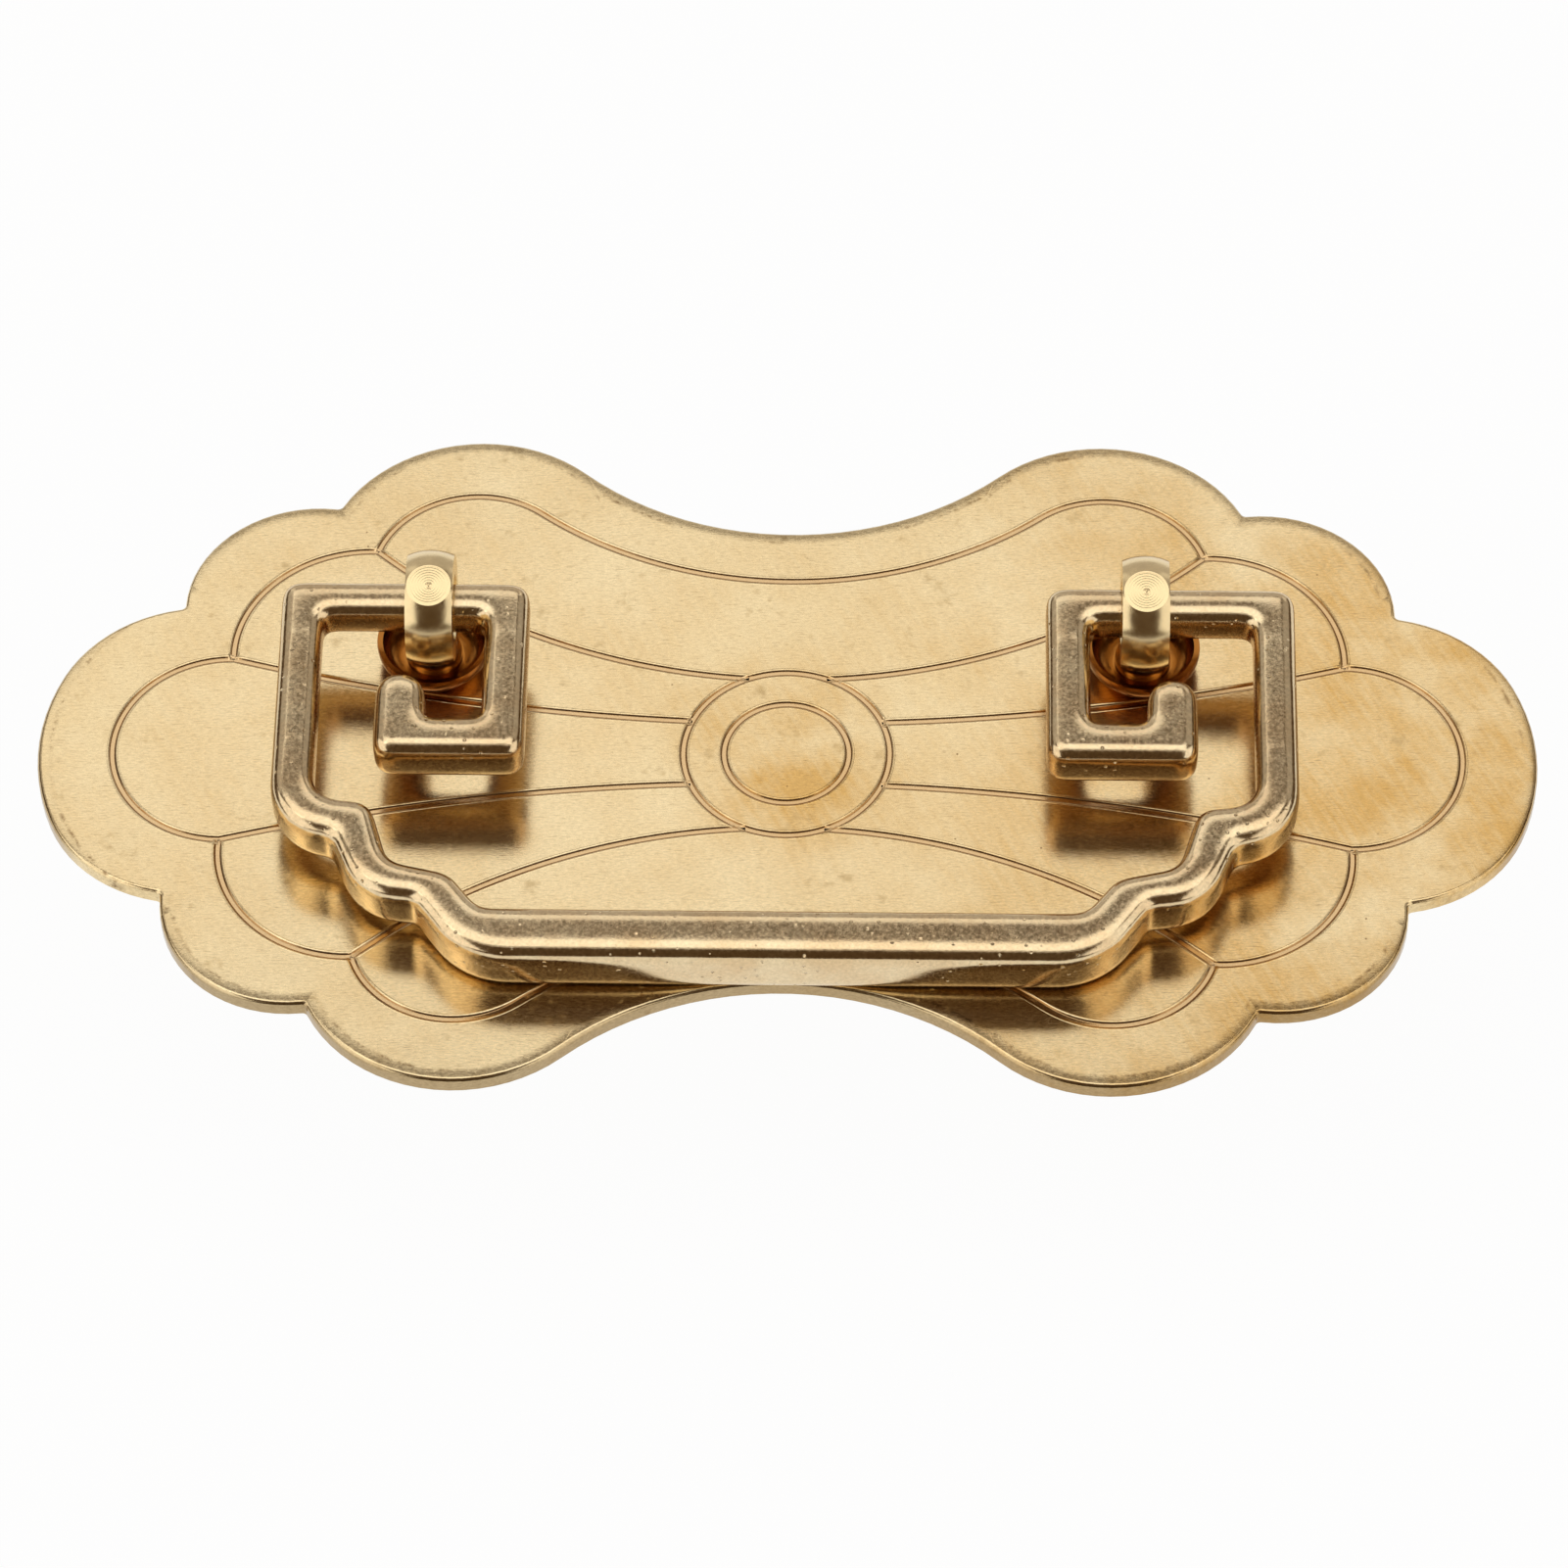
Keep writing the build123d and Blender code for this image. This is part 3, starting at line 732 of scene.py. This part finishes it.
def makeFacet(side, material):
    # flat end of the turned ball: a disc with fine tool rings and a parting pip, its height a
    # function of radius
    shape = facet
    cx, cy = postPlace(side)[:2]
    lean = math.radians(shape["tilt"])
    axis = np.array([0, -math.sin(lean), math.cos(lean)])
    center = np.array([cx, cy, plate["top"] + shape["eyeHeight"]])
    center = center + axis * math.sqrt(shape["ball"] ** 2 - shape["radius"] ** 2)
    edge = shape["radius"] - shape["inset"]
    out = np.linspace(0, 1, shape["rows"] + 1)[1:, None] * edge
    turn = fullTurn(shape["around"])[None, :]
    rise = shape["lift"] + shape["ringRise"] * np.cos(2 * np.pi * out / shape["ring"])
    rise = rise + shape["pip"] * np.exp(-(out / shape["pipWidth"]) ** 2)
    sunk = np.clip((out - edge + shape["rimWidth"]) / shape["rimWidth"], 0, 1)
    rise = rise - shape["rimDrop"] * sunk + 0 * turn
    level = np.array([1.0, 0, 0])
    across = np.cross(axis, level)
    points = center + (out * np.cos(turn))[..., None] * level
    points = points + (out * np.sin(turn))[..., None] * across
    points = (points + rise[..., None] * axis).reshape(-1, 3)
    tip = center + (shape["lift"] + shape["ringRise"] + shape["pip"]) * axis
    faces = gridFaces(shape["rows"], shape["around"], wrap=True).tolist()
    ring = np.arange(shape["around"])
    middle = np.full(shape["around"], len(points))
    faces += np.stack([middle, np.roll(ring, -1), ring], -1).tolist()
    points = np.vstack([points, tip])
    putMesh("parting_facet_" + side, points, faces, material, "mount")


collar = {
    "height": 3.72,
    "radius": 2.03,
    "bead": 0.12,
    "around": 64,
    "beadAround": 14,
}


def makeCollar(side, material):
    # turned bead round the neck under the eye: a circle carried round the post's axis
    shape = collar
    cx, cy = postPlace(side)[:2]
    turn = fullTurn(shape["around"])[:, None]
    bead = fullTurn(shape["beadAround"])[None, :]
    radius = shape["radius"] + shape["bead"] * np.cos(bead)
    z = shape["height"] + shape["bead"] * np.sin(bead) + 0 * turn
    x, y = cx + radius * np.cos(turn), cy + radius * np.sin(turn)
    points = np.stack([x, y, z], -1).reshape(-1, 3)
    faces = gridFaces(shape["around"], shape["beadAround"], wrap=True, wrapRows=True)
    faces = faces[:, ::-1].tolist()
    putMesh("neck_collar_" + side, points, faces, material, "mount")


makeTracery(finishes["back_plate"])
for side in ("left", "right"):
    makeThread(side, finishes["eye_post"])
    makeFacet(side, finishes["eye_post"])
    makeCollar(side, finishes["eye_post"])
print("added pieces made")


studio = {
    "floorHalf": 3.0,         # metres
    "floorColour": "#F4F2EE",
    "floorWhite": 0.96,       # share of plain white that the camera and the metal see on the floor
    "worldLevel": 0.09,
    "worldTint": "#FFCE95",   # the dim room beyond the lamps is warm, so dark reflections stay brown
}


def makeFloor():
    level, half = cadBox[0][2], studio["floorHalf"]
    mesh = bpy.data.meshes.new("studioFloor")
    corners = [(-half, -half, level), (half, -half, level), (half, half, level), (-half, half, level)]
    mesh.from_pydata(corners, [], [(0, 1, 2, 3)])
    floor = bpy.data.objects.new("studioFloor", mesh)
    bpy.context.scene.collection.objects.link(floor)
    material, tree = newMaterial("paperWhite")
    rays = addNode(tree, "ShaderNodeLightPath").outputs
    mirrored = maths(tree, "MAXIMUM", rays["Is Glossy Ray"], rays["Is Transmission Ray"])
    seen = maths(tree, "MAXIMUM", rays["Is Camera Ray"], mirrored)
    share = maths(tree, "MULTIPLY", seen, studio["floorWhite"])
    paper = addNode(tree, "ShaderNodeBsdfDiffuse", {"Color": linearColour(studio["floorColour"])})
    glow = addNode(tree, "ShaderNodeEmission", {"Color": (1, 1, 1, 1), "Strength": 1.0})
    both = addNode(tree, "ShaderNodeMixShader", {0: share, 1: paper.outputs[0], 2: glow.outputs[0]})
    addNode(tree, "ShaderNodeOutputMaterial", {"Surface": both.outputs[0]})
    mesh.materials.append(material)


def makeWorld():
    world = bpy.data.worlds.new("studioWorld")
    world.use_nodes = True
    tree = world.node_tree
    tree.nodes.clear()
    sky = addNode(tree, "ShaderNodeBackground", {
        "Color": linearColour(studio["worldTint"]), "Strength": studio["worldLevel"]})
    addNode(tree, "ShaderNodeOutputWorld", {"Surface": sky.outputs[0]})
    bpy.context.scene.world = world


# each softbox: degrees up from the +Y horizon and over the top, degrees to the right, metres away,
# width and height in metres, and radiance
softboxes = {
    "backBox": {"up": 51.2, "right": -4.0, "away": 1.2, "size": (0.95, 0.33), "radiance": 1.09},
    "backLeft": {"up": 46.0, "right": -37.0, "away": 1.2, "size": (0.6, 0.75), "radiance": 0.4},
    "backRight": {"up": 46.0, "right": 37.0, "away": 1.2, "size": (0.6, 0.75), "radiance": 0.34},
    "lowBox": {"up": 16.0, "right": 0.0, "away": 1.3, "size": (1.9, 1.15), "radiance": 0.46},
    "gapLeft": {"up": 66.0, "right": -20.0, "away": 1.25, "size": (0.9, 0.2), "radiance": 0.16},
    "gapRight": {"up": 66.0, "right": 21.0, "away": 1.25, "size": (0.88, 0.2), "radiance": 0.1},
    "topBox": {"up": 85.5, "right": -2.0, "away": 1.0, "size": (1.2, 0.53), "radiance": 1.4},
    "frontBox": {"up": 105.0, "right": 0.0, "away": 1.0, "size": (1.0, 0.14), "radiance": 0.42},
    "leftSide": {"up": 128.0, "right": -54.0, "away": 1.0, "size": (0.85, 1.3), "radiance": 1.2},
    "rightSide": {"up": 128.0, "right": 54.0, "away": 1.0, "size": (0.85, 1.3), "radiance": 1.05},
}


def facingFrame(place, right, above, back):
    # matrix of a lamp or camera at a place, from its three axes
    return Matrix.Translation(place) @ Matrix((right, above, back)).transposed().to_4x4()


def makeSoftbox(name, box):
    up, right = math.radians(box["up"]), math.radians(box["right"])
    ahead, out = math.cos(right), math.sin(right)
    toward = Vector((out, ahead * math.cos(up), ahead * math.sin(up)))
    side = Vector((ahead, -out * math.cos(up), -out * math.sin(up)))
    lamp = bpy.data.lights.new(name, "AREA")
    lamp.shape = "RECTANGLE"
    lamp.size, lamp.size_y = box["size"]
    lamp.energy = box["radiance"] * math.pi * lamp.size * lamp.size_y
    holder = bpy.data.objects.new(name, lamp)
    holder.matrix_world = facingFrame(toward * box["away"], side, toward.cross(side), toward)
    bpy.context.scene.collection.objects.link(holder)


cameraFit = {
    "aim": (-0.158, -3.534, 1.4),   # mm, the point at the picture's centre
    "distance": 630.9,
    "elevation": 51.92,
    "azimuth": -1.52,               # degrees the view turns from +Y towards -X
    "roll": -0.69,
    "lens": 162.2,
    "nearest": 0.01,                # metres; nothing closer is drawn
}


def makeCamera():
    fit = cameraFit
    up, turn, roll = (math.radians(fit[k]) for k in ("elevation", "azimuth", "roll"))
    ahead = math.cos(up)
    forward = Vector((math.sin(turn) * ahead, math.cos(turn) * ahead, -math.sin(up)))
    level = forward.cross(Vector((0, 0, 1))).normalized()
    above = level.cross(forward)
    right = level * math.cos(roll) + above * math.sin(roll)
    over = above * math.cos(roll) - level * math.sin(roll)
    place = (Vector(fit["aim"]) - forward * fit["distance"]) * mm
    camera = bpy.data.objects.new("camera", bpy.data.cameras.new("camera"))
    camera.data.lens = fit["lens"]
    camera.data.clip_start = fit["nearest"]
    camera.matrix_world = facingFrame(place, right, over, -forward)
    bpy.context.scene.collection.objects.link(camera)
    bpy.context.scene.camera = camera


makeFloor()
for name, box in softboxes.items():
    makeSoftbox(name, box)
makeWorld()
makeCamera()
bpy.context.scene.view_settings.view_transform = "Standard"
print("studio ready")
